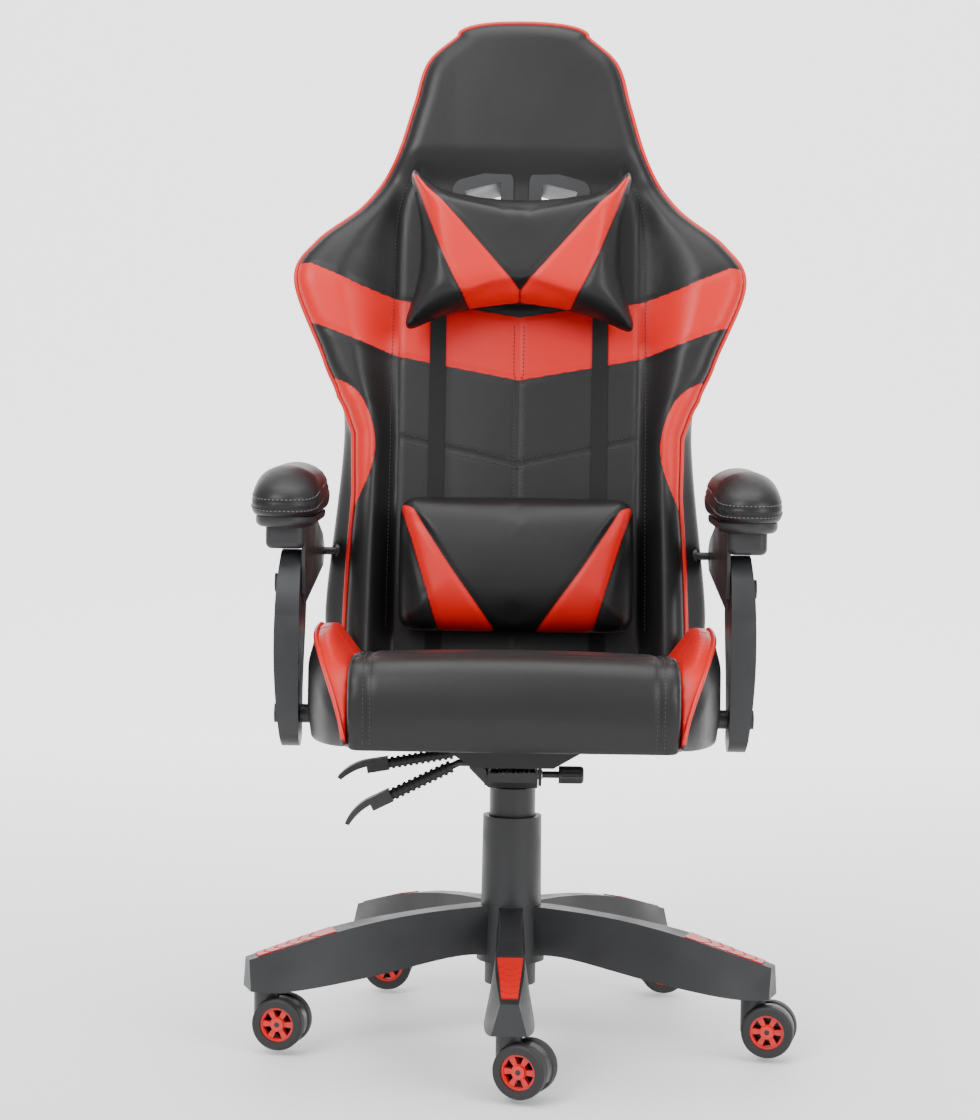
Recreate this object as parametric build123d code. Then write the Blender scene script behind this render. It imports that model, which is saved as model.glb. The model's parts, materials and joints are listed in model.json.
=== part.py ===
from build123d import *

import os
from math import atan2, cos, radians, sin

# A racing-style swivel chair with a reclining back and linked armrests, in millimetres.
# +Z is up and the sitter faces -Y. Left and right are the sitter's own, so left is +X.
# The origin is on the floor, on the axis of the gas lift.

# Rolling base
WHEEL_R = 30.0
WHEEL_WIDTH = 17.0
WEB_WIDTH = 12.0
WHEEL_GAP = 1.0
AXLE_R = 3.0
RIM_R = 20.0
TRAIL = 19.0
STEM_R = 5.5
CASTOR_TOP = 66.0
STEM_TOP = 102.0
CASTOR_RADIUS = 295.0
SPOKES = 6
ARM_TIP_RADIUS = 318.0
ARM_BOTTOM = 68.0
ARM_COUNT = 5
HUB_TOP = 156.0
RUNNING = 0.06
CLEARANCE = 0.4

# Castor name: the bearing of its base arm, and how far its axle is turned from the Y axis, in degrees
CASTORS = {
    "castor_front": (-90, 21),
    "castor_front_left": (-18, 12),
    "castor_rear_left": (54, -8),
    "castor_rear_right": (126, 3),
    "castor_front_right": (198, 12),
}

# Gas lift and its covers
TUBE_R = 25.0
TUBE_BOTTOM = 58.0
TUBE_TOP = 225.0
CYLINDER_R = 14.0
CYLINDER_BOTTOM = 115.0
CYLINDER_TOP = 322.0
TAPER_START = 290.0
TAPER_TOP_R = 13.0
ROD_R = 5.0

# Tilt mechanism
BOX_HALF = 28.5
BOX_FLOOR = 303.0
SHEET = 3.0
TILT_Y = -62.0
TILT_Z = 316.0
TILT_SHAFT_R = 6.0
LEVER_Z = 333.0
LEVER_PIVOT_X = -45.0
LEVER_BEND_X = -62.0
LEVER_ROD_R = 4.0
LEVER_PIN_R = 2.5
LEVER_REACH = 118.0
HEIGHT_LEVER_Y = 0.0
TILT_LEVER_Y = -96.0

# Seat: built level, then turned about the lift's axis so that its back edge is lower
SEAT_DATUM = 349.0
SEAT_SLOPE = 4.0
SEAT_TUBE_R = 11.0
SEAT_TUBE_X = 183.0
SEAT_HALF = 181.0
SEAT_FRONT = -268.0
SEAT_REAR = 172.0
SEAT_TOP = 98.0
SEAT_UNDERSIDE = 3.0
PLATE_BOLTS = [(x, y) for x in (-98, 98) for y in (-60, 90)]
BOLT_R = 4.0
BOLSTER_HALF = 239.5
BOLSTER_TOP = 134.0
BOLSTER_REAR = 138.0

# Back: built upright on the recline axis, with Z up the back and -Y towards the sitter, then leaned
RECLINE_Y = 212.0
RECLINE_Z = 404.0
SEAT_HINGE_IN = 194.0
SEAT_HINGE_OUT = 199.0
BACK_HINGE_IN = 188.0
BACK_HINGE_OUT = 193.0
HINGE_STUD_R = 8.0
COVER_OUT = 222.0
SYNC_ROD_R = 5.0
RELEASE_IN = 241.8
RELEASE_OUT = 246.1
BACK_LEAN = 10.0
BACK_REAR = 42.0
BACK_FLOOR = 28.0
BACK_CREST = 62.0
BACK_TOP = 828.0
BACK_TUBE_R = 11.0
BACK_TUBE_X = 177.0
BACK_TUBE_FOOT = 52.0
BRIDGE_HALF = 26.0
HOLE_LOW = 566.0
HOLE_HIGH = 621.0
STRAP_LOOP = (571.0, 585.0)

# Linked armrests: the four pivots are the corners of a parallelogram
PIVOT_UP = 150.0
PIVOT_FORWARD = 15.0
OPEN_PIVOT = 0.1
ARM_FRONT_Y = -55.0
ARM_FRONT_Z = 534.0
LINK_IN = 241.5
LINK_OUT = 245.5
STRUT_IN = 246.5
STRUT_OUT = 275.0
PAD_X = 265.0
PAD_BOTTOM = 612.0
PAD_TOP = 666.0
SEAT_PIVOT_R = 6.0
PAD_PIVOT_R = 7.0
BACK_PIVOT_R = 5.0
PIVOT_HEAD_R = 11.0

BASE_ALIGN = (Align.CENTER, Align.CENTER, Align.MIN)
SIDES = {"left": 1, "right": -1}


def rod(radius, start, end):
    """A solid cylinder from one point to another."""
    along = Vector(*end) - Vector(*start)
    return Plane(origin=start, z_dir=along).location * Cylinder(radius, along.length, align=BASE_ALIGN)


def ring(outer, inner, low, high):
    """A tube about the Z axis."""
    return Pos(0, 0, low) * (
        Cylinder(outer, high - low, align=BASE_ALIGN) - Cylinder(inner, high - low, align=BASE_ALIGN)
    )


def block(x, y, z):
    """A box given by its range along each axis."""
    centre = [(span[0] + span[1]) / 2 for span in (x, y, z)]
    return Pos(*centre) * Box(x[1] - x[0], y[1] - y[0], z[1] - z[0])


def prism(plane, points, amount):
    """A closed polygon, drawn on a plane and extruded along its normal."""
    return extrude(plane * make_face(Polyline(*points, close=True)), amount=amount, dir=plane.z_dir)


def side_prism(points, low, high):
    """A polygon in Y and Z, extruded along X."""
    return prism(Plane.YZ.offset(low), points, high - low)


def mirrored(shape):
    return mirror(shape, about=Plane.YZ)


def sided(shape, side):
    """A shape made for the sitter's left, or its mirror image for the right."""
    return shape if side > 0 else mirrored(shape)


def on_seat(shape):
    return Pos(0, 0, SEAT_DATUM) * Rot(X=-SEAT_SLOPE) * shape


def on_back(shape):
    return Pos(0, RECLINE_Y, RECLINE_Z) * Rot(X=-BACK_LEAN) * shape


def to_seat(y, z):
    """A point of the row frame, in the level seat's own Y and Z."""
    slope = radians(SEAT_SLOPE)
    return y * cos(slope) - (z - SEAT_DATUM) * sin(slope), y * sin(slope) + (z - SEAT_DATUM) * cos(slope)


def to_row_points(points):
    """Points of the level seat's Y and Z, in the row frame's Y and Z."""
    slope = radians(SEAT_SLOPE)
    return tuple(
        (y * cos(slope) + z * sin(slope), SEAT_DATUM - y * sin(slope) + z * cos(slope)) for y, z in points
    )


def linkage():
    """The armrest's four pivots in Y and Z: seat, strut top, back, and the recline axis."""
    lean = radians(BACK_LEAN)
    rise_y = PIVOT_UP * sin(lean) - PIVOT_FORWARD * cos(lean)
    rise_z = PIVOT_UP * cos(lean) + PIVOT_FORWARD * sin(lean)
    return (
        (ARM_FRONT_Y - rise_y, ARM_FRONT_Z - rise_z),
        (ARM_FRONT_Y, ARM_FRONT_Z),
        (RECLINE_Y + rise_y, RECLINE_Z + rise_z),
    )


def save(name, *shapes):
    solids = [solid for shape in shapes for solid in shape.solids()]
    export_step(Compound(children=solids) if len(solids) > 1 else solids[0], f"parts/{name}.step")


# Rolling base


def arm_section(radius, low, high, low_half, high_half):
    """A trapezoid across a base arm that points along +X."""
    corners = ((-low_half, low), (low_half, low), (high_half, high), (-high_half, high))
    return Plane.YZ.offset(radius) * make_face(Polyline(*corners, close=True))


ARM_STATIONS = (
    (18, 92, 154, 19, 13),
    (95, 93, 150, 17, 12),
    (155, 82, 143, 20, 13),
    (210, 74, 133, 25, 16),
    (264, 68, 119, 28, 15),
    (ARM_TIP_RADIUS, ARM_BOTTOM, 103, 19.5, 10),
)


def base_arm():
    wall = 3.5
    outside = loft([arm_section(*station) for station in ARM_STATIONS])
    inner = [
        arm_section(min(r, 309), low - 6, high - wall, low_half - wall, high_half - wall)
        for r, low, high, low_half, high_half in ARM_STATIONS[1:]
    ]
    ribs = [block((r, r + 2.5), (-40, 40), (0, 200)) for r in (120, 160, 200, 240)]
    boss = rod(11, (CASTOR_RADIUS, 0, ARM_BOTTOM), (CASTOR_RADIUS, 0, 108))
    inside = outside & (boss + ribs)
    return outside - loft(inner) + inside


def inlay_plane():
    """A plane on an arm's sloping top, with its X axis down the slope."""
    inner, outer = ARM_STATIONS[3], ARM_STATIONS[5]
    slope = atan2(inner[2] - outer[2], outer[0] - inner[0])
    return Plane(
        origin=(inner[0] + 6, 0, inner[2] - 6 * sin(slope) + 0.6),
        x_dir=(cos(slope), 0, -sin(slope)),
        z_dir=(sin(slope), 0, cos(slope)),
    )


def inlay_blank(grow=0.0):
    length, wide, narrow = 94, 14.5, 9
    corners = ((-grow, -wide - grow), (length + grow, -narrow - grow))
    corners += tuple((x, -y) for x, y in reversed(corners))
    return prism(inlay_plane().offset(-3), corners, 4)


def inlay():
    """A red plate let into an arm's top, with chevron grooves."""
    plate = inlay_blank()
    for step in range(5):
        for turn in (-1, 1):
            groove = Box(2.0, 30, 1.6, align=(Align.CENTER, Align.MIN, Align.CENTER))
            tilt = Rot(Z=turn * 35 + (0 if turn > 0 else 180))
            plate -= inlay_plane().location * Pos(30 + 14 * step, 0, 1.0) * tilt * groove
    return plate


def base_star():
    """The five-armed nylon base, with a bore for the gas lift and a socket in each arm."""
    star = Pos(0, 0, 88) * Cone(40, 35, HUB_TOP - 88, align=BASE_ALIGN)
    star += ring(30, TUBE_R + RUNNING, 60, 100)
    arm = base_arm() - inlay_blank(0.05)
    for index in range(ARM_COUNT):
        star += Rot(Z=-90 + 360 / ARM_COUNT * index) * arm
    star -= rod(TUBE_R + RUNNING, (0, 0, 0), (0, 0, 200))
    socket_floor, socket_top = (CASTOR_RADIUS, 0, ARM_BOTTOM - 5), (CASTOR_RADIUS, 0, STEM_TOP + 1)
    socket = rod(STEM_R + RUNNING, socket_floor, socket_top)
    for bearing, _ in CASTORS.values():
        star -= Rot(Z=bearing) * socket
    return star


def castor_frame():
    """A castor's nylon housing, its steel stem and its axle, with the stem on the Z axis."""
    axle = Pos(TRAIL, 0, WHEEL_R)
    web = axle * Rot(X=90) * Cylinder(WHEEL_R - 1.5, WEB_WIDTH)
    web -= Pos(TRAIL + 8, 0, 0) * Box(60, 40, 34)
    boss = rod(14.5, (0, 0, 26), (0, 0, CASTOR_TOP))
    room = axle * Rot(X=90) * Cylinder(WHEEL_R + 1.2, 60)
    boss -= room - block((-40, 80), (-WEB_WIDTH / 2, WEB_WIDTH / 2), (-10, 90))
    housing = boss + web
    pin = axle * Rot(X=90) * Cylinder(AXLE_R, 2 * (WEB_WIDTH / 2 + WHEEL_GAP + WHEEL_WIDTH - 2))
    stem = rod(STEM_R, (0, 0, 44), (0, 0, STEM_TOP)) + rod(8, (0, 0, CASTOR_TOP), (0, 0, ARM_BOTTOM - 0.2))
    return housing - pin - rod(STEM_R, (0, 0, 44), (0, 0, CASTOR_TOP)), pin, stem


def castor_wheel(side):
    """A tyre and its six-spoked rim, on the castor's own axle."""
    inner = WEB_WIDTH / 2 + WHEEL_GAP
    axle = Pos(TRAIL, 0, WHEEL_R) * Rot(X=90 * side)
    tyre = Pos(0, 0, inner) * (
        Cylinder(WHEEL_R, WHEEL_WIDTH, align=BASE_ALIGN) - Cylinder(RIM_R, WHEEL_WIDTH, align=BASE_ALIGN)
    )
    tyre = fillet(tyre.edges().filter_by(GeomType.CIRCLE).sort_by(lambda e: e.radius)[-2:], 4)
    face = inner + 5
    rim = Pos(0, 0, face) * Cylinder(RIM_R, WHEEL_WIDTH - 8, align=BASE_ALIGN)
    rim -= Pos(0, 0, face + WHEEL_WIDTH - 10) * Cylinder(RIM_R - 2.5, 4, align=BASE_ALIGN)
    rim += Pos(0, 0, inner) * Cylinder(7.5, WHEEL_WIDTH - 2, align=BASE_ALIGN)
    corners = ((8.5, -2), (16.5, -5.4), (16.5, 5.4), (8.5, 2))
    window = extrude(make_face(Polyline(*corners, close=True)), 40)
    for spoke in range(SPOKES):
        rim -= Rot(Z=360 / SPOKES * (spoke + 0.5)) * window
    rim -= Cylinder(AXLE_R + RUNNING, 100)
    return axle * tyre, axle * rim


def place_castor(shape, name):
    bearing, turn = CASTORS[name]
    spot = radians(bearing)
    return Pos(CASTOR_RADIUS * cos(spot), CASTOR_RADIUS * sin(spot), 0) * Rot(Z=-turn) * shape


# Gas lift, covers and tilt mechanism


def gas_lift_tube():
    floor = ring(TUBE_R - 1, ROD_R + RUNNING, TUBE_BOTTOM, TUBE_BOTTOM + 3)
    return ring(TUBE_R, TUBE_R - 2, TUBE_BOTTOM, TUBE_TOP) + floor


def lift_taper():
    """The cone at the cylinder's top, which the mechanism grips."""
    length = CYLINDER_TOP - TAPER_START
    return Pos(0, 0, TAPER_START) * Cone(CYLINDER_R, TAPER_TOP_R, length, align=BASE_ALIGN)


def lift_cylinder():
    body = rod(CYLINDER_R, (0, 0, CYLINDER_BOTTOM), (0, 0, TAPER_START)) + lift_taper()
    body -= rod(12, (0, 0, CYLINDER_BOTTOM + 4), (0, 0, 285))
    body -= rod(ROD_R + RUNNING, (0, 0, 0), (0, 0, 200))
    return body - rod(4 + RUNNING, (0, 0, 306), (0, 0, 400))


def lift_piston():
    """The piston rod, its piston, and the thrust bearing that the lift turns on."""
    piston = rod(ROD_R, (0, 0, TUBE_BOTTOM), (0, 0, 195)) + rod(11.9, (0, 0, 185), (0, 0, 195))
    return piston, ring(14, ROD_R, TUBE_BOTTOM + 3.1, TUBE_BOTTOM + 9)


def column_covers():
    """The three telescoping covers: lower, middle and upper."""
    taper = Pos(0, 0, HUB_TOP + 0.2) * Cone(35.5, 34.5, 103, align=BASE_ALIGN)
    lower = taper - rod(33, (0, 0, 0), (0, 0, 256)) - rod(28, (0, 0, 250), (0, 0, 270))
    middle = ring(27, 25.5, 192, 292.6) - rod(17.6, (0, 0, 280), (0, 0, 300))
    upper = ring(17, 15.4, 267, BOX_FLOOR)
    return lower, middle, upper


def mechanism_box():
    """The pressed steel box that clamps the lift's taper and carries the levers."""
    outline = (
        (-112, 313),
        (-84, BOX_FLOOR),
        (62, BOX_FLOOR),
        (62, 314),
        (-46, 318),
        (-56, 323),
        (-72, 323),
        (-112, 323),
    )
    inside = ((-109, 317), (-83, BOX_FLOOR + SHEET), (59, BOX_FLOOR + SHEET), (59, 340), (-109, 340))
    box = side_prism(outline, -BOX_HALF, BOX_HALF)
    box -= side_prism(inside, -BOX_HALF + SHEET, BOX_HALF - SHEET)
    box += ring(22, 10, BOX_FLOOR, 320)
    box -= lift_taper() + rod(TAPER_TOP_R + 0.5, (0, 0, 280), (0, 0, 400))
    for y in (HEIGHT_LEVER_Y, TILT_LEVER_Y):
        box += [side_ear(y - 7), side_ear(y + 7)]
    box -= rod(TILT_SHAFT_R + RUNNING, (-50, TILT_Y, TILT_Z), (50, TILT_Y, TILT_Z))
    for y in (HEIGHT_LEVER_Y, TILT_LEVER_Y):
        box -= rod(LEVER_PIN_R + RUNNING, (LEVER_PIVOT_X, y - 20, LEVER_Z), (LEVER_PIVOT_X, y + 20, LEVER_Z))
    return box


def side_ear(y):
    """One of the pair of ears that a lever pivots between."""
    corners = ((-BOX_HALF + 0.5, 306), (-BOX_HALF + 0.5, 318), (-40, 338), (-50, 338), (-50, 328))
    return prism(Plane.XZ.offset(-y - 1.5), corners, 3)


def lever(y, slope):
    """A bent steel rod with its pivot pin, a ribbed sleeve and a curved paddle handle."""
    bend = Vector(LEVER_BEND_X, y, LEVER_Z)
    down = Vector(-cos(radians(slope)), 0, -sin(radians(slope)))
    rod_end = LEVER_REACH - 32
    inner_end = 1 if y == HEIGHT_LEVER_Y else -20
    arm = rod(LEVER_ROD_R, (inner_end, y, LEVER_Z), tuple(bend))
    arm += Pos(*bend) * Sphere(LEVER_ROD_R)
    arm += rod(LEVER_ROD_R, tuple(bend), tuple(bend + down * rod_end))
    arm += rod(LEVER_PIN_R, (LEVER_PIVOT_X, y - 8.4, LEVER_Z), (LEVER_PIVOT_X, y + 8.4, LEVER_Z))
    # The sleeve and handle are drawn along -X from the bend, then turned down to the slope.
    turn = Pos(*bend) * Rot(Y=-slope)
    outward = Rot(Y=-90)
    sleeve_start, sleeve_end, ribs = 10, 86, 11
    sleeve_r, rib_r = 5.6, 7.3
    pitch = (sleeve_end - sleeve_start) / ribs
    sleeve = Pos(0, 0, sleeve_start) * Cylinder(sleeve_r, sleeve_end - sleeve_start, align=BASE_ALIGN)
    for index in range(ribs):
        sleeve += Pos(0, 0, sleeve_start + pitch * index) * Cylinder(rib_r, pitch * 0.5, align=BASE_ALIGN)
    sleeve -= Cylinder(LEVER_ROD_R, 200, align=BASE_ALIGN)
    handle = block((-112, -sleeve_end), (-9, 9), (-7, 8))
    handle += lever_paddle(-(LEVER_REACH + 30))
    handle -= outward * Cylinder(LEVER_ROD_R, rod_end, align=BASE_ALIGN)
    return arm, turn * outward * sleeve, turn * handle


def lever_paddle(tip):
    """A lever's curved blade, drooping from its socket to a thin tip along -X."""
    blade = make_face(
        Polyline((-104, 8), (-112, 8))
        + ThreePointArc((-112, 8), (-132, 4), (tip, -6))
        + Line((tip, -6), (tip + 4, -9.5))
        + ThreePointArc((tip + 4, -9.5), (-126, -1.5), (-104, 1))
        + Line((-104, 1), (-104, 8))
    )
    return extrude(Plane.XZ.offset(-10) * blade, amount=20, dir=(0, -1, 0))


def tilt_shaft():
    shaft = rod(TILT_SHAFT_R, (-34, TILT_Y, TILT_Z), (34, TILT_Y, TILT_Z))
    return shaft - rod(4 + RUNNING, (4, TILT_Y, TILT_Z), (40, TILT_Y, TILT_Z))


def tension_knob():
    """The side knob that winds up the tilt spring."""
    head_r, flutes = 10.2, 12
    head = rod(head_r, (53, TILT_Y, TILT_Z), (82, TILT_Y, TILT_Z))
    head = fillet(head.edges().sort_by(Axis.X)[-1], 4)
    for index in range(flutes):
        turn = Pos(0, TILT_Y, TILT_Z) * Rot(X=360 / flutes * index)
        head -= turn * rod(1.1, (57, 0, head_r + 0.6), (90, 0, head_r + 0.6))
    return head + rod(4, (5, TILT_Y, TILT_Z), (53, TILT_Y, TILT_Z))


def tilt_spring():
    """The torsion spring, coiled round the tilt shaft inside the box."""
    coil = Helix(pitch=5.0, height=40.0, radius=8.0)
    wire = Plane(origin=coil @ 0, z_dir=coil % 0) * Circle(1.35)
    return Pos(-20, TILT_Y, TILT_Z) * Rot(Y=90) * sweep(wire, path=coil)


# Seat


def seat_plate():
    """The pressed plate between mechanism and seat: a shallow pan with sloping wings and two lugs."""
    low, high, half, wing, flange = -27, 0, 46, 88, 108
    right = ((half, low + SHEET), (wing, high), (flange, high))
    outer = tuple((-x, z) for x, z in reversed(right)) + right
    under = tuple((x, z - SHEET) for x, z in reversed(outer))
    plate = prism(Plane.XZ.offset(-115), outer + under, 230)
    plate -= block((-36, 36), (-52, 98), (-60, 20))
    plate -= block((-110, -34), (HEIGHT_LEVER_Y - 19, HEIGHT_LEVER_Y + 17), (-60, 20))
    plate -= block((-110, -14), (TILT_LEVER_Y - 30, TILT_LEVER_Y + 15), (-60, 20))
    web = ((-wing, high), (-half, low), (half, low), (wing, high))
    plate += prism(Plane.XZ.offset(115 - SHEET), web, SHEET)
    plate = on_seat(plate)
    for side in (-1, 1):
        lug = block((29.5, 33), (-74, -54), (TILT_Z - 12, 328))
        plate += sided(lug, side)
    plate -= rod(TILT_SHAFT_R, (-50, TILT_Y, TILT_Z), (50, TILT_Y, TILT_Z))
    for x, y in PLATE_BOLTS:
        plate -= on_seat(rod(BOLT_R + 0.2, (x, y, -20), (x, y, 20)))
    return plate


def seat_plate_bolts():
    """Four bolts that hold the seat's frame to the plate."""
    bolts = []
    for x, y in PLATE_BOLTS:
        head = Pos(x, y, -SHEET - 5) * extrude(RegularPolygon(6.5, 6), amount=5)
        bolts.append(on_seat(head + rod(BOLT_R, (x, y, -SHEET), (x, y, 5))))
    return bolts


def seat_frame(grow=0.0):
    """The welded seat frame: a tube ring, two flat cross bars and a boss each side for the armrests."""
    tube = SEAT_TUBE_R + grow
    height = SEAT_TUBE_R
    front, rear = SEAT_FRONT + 34, SEAT_REAR + 2
    loop = FilletPolyline(
        (SEAT_TUBE_X, rear, height),
        (SEAT_TUBE_X, front, height),
        (-SEAT_TUBE_X, front, height),
        (-SEAT_TUBE_X, rear, height),
        radius=30,
    )
    frame = sweep(Plane(origin=loop @ 0, z_dir=loop % 0) * Circle(tube), path=loop)
    frame += rod(tube, (-SEAT_TUBE_X, rear - 22, height), (SEAT_TUBE_X, rear - 22, height))
    for y in (-60, 90):
        frame += block((-SEAT_TUBE_X, SEAT_TUBE_X), (y - 15 - grow, y + 15 + grow), (0, 5 + grow))
    seat_pivot = to_seat(*linkage()[0])
    for side in (-1, 1):
        boss = rod(11 + grow, (SEAT_TUBE_X - 6, *seat_pivot), (STRUT_IN - 0.4, *seat_pivot))
        post = (seat_pivot[0] - 11, seat_pivot[0] + 11)
        boss += block((SEAT_TUBE_X - 8, SEAT_TUBE_X + 8), post, (6, 34 + grow))
        frame += sided(boss, side)
    frame = on_seat(frame)
    if grow:
        return frame
    for x, y in PLATE_BOLTS:
        frame -= on_seat(rod(BOLT_R, (x, y, -5), (x, y, 20)))
    for side in (-1, 1):
        frame -= sided(rod(SEAT_PIVOT_R, (210, *linkage()[0]), (260, *linkage()[0])), side)
    return frame


def seat_cushion(hollow):
    """The seat's centre cushion, with its frame let into the underside."""
    profile = (
        Line((SEAT_REAR, SEAT_UNDERSIDE), (SEAT_FRONT + 8, SEAT_UNDERSIDE))
        + ThreePointArc((SEAT_FRONT + 8, SEAT_UNDERSIDE), (SEAT_FRONT - 1, 45), (SEAT_FRONT + 6, 88))
        + ThreePointArc((SEAT_FRONT + 6, 88), (SEAT_FRONT + 14, 96), (SEAT_FRONT + 34, SEAT_TOP + 1))
        + ThreePointArc((SEAT_FRONT + 34, SEAT_TOP + 1), (-100, SEAT_TOP + 4), (SEAT_REAR, SEAT_TOP - 4))
        + Line((SEAT_REAR, SEAT_TOP - 4), (SEAT_REAR, SEAT_UNDERSIDE))
    )
    cushion = extrude(Plane.YZ.offset(-SEAT_HALF) * make_face(profile), amount=2 * SEAT_HALF, dir=(1, 0, 0))
    return on_seat(cushion) - hollow


def seat_bolster(hollow, side):
    """A raised bolster beside the cushion, lower and narrower towards the front."""
    inner, rear = SEAT_HALF + 0.5, BOLSTER_REAR + 1
    plan = make_face(
        Polyline((inner, SEAT_FRONT + 6), (inner, BOLSTER_REAR), (BOLSTER_HALF, BOLSTER_REAR))
        + Spline(
            (BOLSTER_HALF, BOLSTER_REAR),
            (BOLSTER_HALF, 0),
            (235, -110),
            (214, -212),
            (inner, SEAT_FRONT + 6),
        )
    )
    side_view = make_face(
        Polyline((SEAT_FRONT, SEAT_UNDERSIDE), (rear, SEAT_UNDERSIDE), (rear, BOLSTER_TOP - 4))
        + Spline(
            (rear, BOLSTER_TOP - 4),
            (60, BOLSTER_TOP),
            (-80, 124),
            (-190, 90),
            (-245, 45),
            (SEAT_FRONT, SEAT_UNDERSIDE),
        )
    )
    bolster = extrude(plan, amount=BOLSTER_TOP + 2) & extrude(Plane.YZ.offset(150) * side_view, amount=120)
    above = BOLSTER_TOP + 10
    inner_slope = ((SEAT_HALF - 1, 92), (SEAT_HALF + 42, above), (SEAT_HALF - 1, above))
    bolster -= prism(Plane.XZ.offset(-300), inner_slope, 600)
    return on_seat(sided(bolster, side)) - hollow


# Recliner


def on_recline_axis(radius, start, end):
    """A rod along the recline axis, between two values of X."""
    return rod(radius, (start, RECLINE_Y, RECLINE_Z), (end, RECLINE_Y, RECLINE_Z))


def recliner_seat_plate(side):
    """The seat's half of a hinge: a plate on the frame, with a hollow stud on the recline axis."""
    foot = ((SEAT_REAR - 70, 4), (SEAT_REAR + 2, 4), (SEAT_REAR + 2, 22), (SEAT_REAR - 70, 22))
    neck = (
        (RECLINE_Y - 60, 350),
        (RECLINE_Y + 18, 380),
        (RECLINE_Y + 24, RECLINE_Z),
        (RECLINE_Y - 22, RECLINE_Z + 16),
    )
    plate = side_prism(to_row_points(foot), SEAT_HINGE_IN, SEAT_HINGE_OUT)
    plate += side_prism(neck, SEAT_HINGE_IN, SEAT_HINGE_OUT)
    plate += on_recline_axis(28, SEAT_HINGE_IN, SEAT_HINGE_OUT)
    plate += on_recline_axis(HINGE_STUD_R, BACK_HINGE_IN - 0.5, SEAT_HINGE_OUT)
    plate -= on_recline_axis(SYNC_ROD_R + RUNNING, 150, 250)
    return sided(plate, side)


def recliner_back_plate(side):
    """The back's half of a hinge, welded to the foot of the back frame."""
    plate = block((BACK_HINGE_IN, BACK_HINGE_OUT), (-17, 17), (0, 85))
    plate += rod(26, (BACK_HINGE_IN, 0, 0), (BACK_HINGE_OUT, 0, 0))
    plate -= rod(HINGE_STUD_R + RUNNING, (150, 0, 0), (250, 0, 0))
    return on_back(sided(plate, side))


def recliner_cover(side):
    """The moulded cap over a hinge, open towards the plates."""
    disc_r, wall, inside = 41, 3, 200
    skirt = ((168, 352), (RECLINE_Y + 8, 364), (RECLINE_Y + 8, RECLINE_Z + 40), (168, RECLINE_Z + 30))
    cover = on_recline_axis(disc_r, inside, COVER_OUT) + side_prism(skirt, inside, COVER_OUT)
    cover -= on_recline_axis(disc_r - wall, inside - 1, COVER_OUT - wall)
    cover -= on_recline_axis(7, 150, 250)
    return sided(cover, side)


def recline_lever():
    """The rod that joins the two recliners, and the release lever on the sitter's right."""
    shaft = on_recline_axis(SYNC_ROD_R, -RELEASE_IN, 200)
    slope, reach, hub_r, tip_r = radians(-5), 108, 13, 8.5
    tip = (RECLINE_Y - reach * cos(slope), RECLINE_Z + reach * sin(slope))
    paddle = on_recline_axis(hub_r, -RELEASE_OUT, -RELEASE_IN)
    paddle += rod(tip_r, (-RELEASE_OUT, *tip), (-RELEASE_IN, *tip))
    normal_y, normal_z = -sin(slope), -cos(slope)
    corners = [(RECLINE_Y + w * normal_y, RECLINE_Z + w * normal_z) for w in (hub_r - 1, 1 - hub_r)]
    corners += [(tip[0] + w * normal_y, tip[1] + w * normal_z) for w in (0.2 - tip_r, tip_r - 0.2)]
    return shaft, paddle + side_prism(corners, -RELEASE_OUT, -RELEASE_IN)


# Back


def back_frame(grow=0.0):
    """The welded back frame: a bent tube hoop, cross tubes and a boss each side for the armrests."""
    tube = BACK_TUBE_R + grow
    loop = FilletPolyline(
        (BACK_TUBE_X, 0, BACK_TUBE_FOOT),
        (BACK_TUBE_X, 0, 420),
        (98, 0, 570),
        (98, 0, 745),
        (-98, 0, 745),
        (-98, 0, 570),
        (-BACK_TUBE_X, 0, 420),
        (-BACK_TUBE_X, 0, BACK_TUBE_FOOT),
        radius=36,
    )
    frame = sweep(Plane(origin=loop @ 0, z_dir=loop % 0) * Circle(tube), path=loop)
    for height in (110, 380):
        frame += rod(8 + grow, (-BACK_TUBE_X, 0, height), (BACK_TUBE_X, 0, height))
    boss = rod(10 + grow, (172, -PIVOT_FORWARD, PIVOT_UP), (226 + grow, -PIVOT_FORWARD, PIVOT_UP))
    bolt_way = rod(BACK_PIVOT_R + grow, (200, -PIVOT_FORWARD, PIVOT_UP), (260, -PIVOT_FORWARD, PIVOT_UP))
    for side in (-1, 1):
        frame += sided(boss, side)
        # The padding's hollow clears the armrest's bolt, and the frame itself is bored for it.
        frame = frame + sided(bolt_way, side) if grow else frame - sided(bolt_way, side)
    return on_back(frame)


def back_outline():
    """The back's outline in X and Z: a waisted body, broad shoulders and a narrow head."""
    flank = Spline(
        (237, 46),
        (237, 100),
        (219, 306),
        (241, 386),
        (280, 488),
        (255, 540),
        (197, 590),
        (158, 649),
        (135, 720),
        (118, 776),
        (80, 812),
        (0, BACK_TOP),
        tangents=[(0, 1), (-1, 0)],
    )
    foot = Polyline((0, 13), (148, 13), (148, 46), (237, 46))
    half = make_face(foot + flank + Line((0, BACK_TOP), (0, 13)))
    return half + mirror(half, about=Plane.YZ)


def grommet_outline(grow):
    """A strap hole's outline on the sitter's left, grown outward by a distance."""
    corners = ((BRIDGE_HALF, HOLE_LOW), (60, HOLE_LOW + 4), (71, HOLE_HIGH - 12), (BRIDGE_HALF, HOLE_HIGH))
    hole = make_face(Polyline(*corners, close=True))
    return offset(hole, amount=grow, kind=Kind.ARC) if grow else hole


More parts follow.
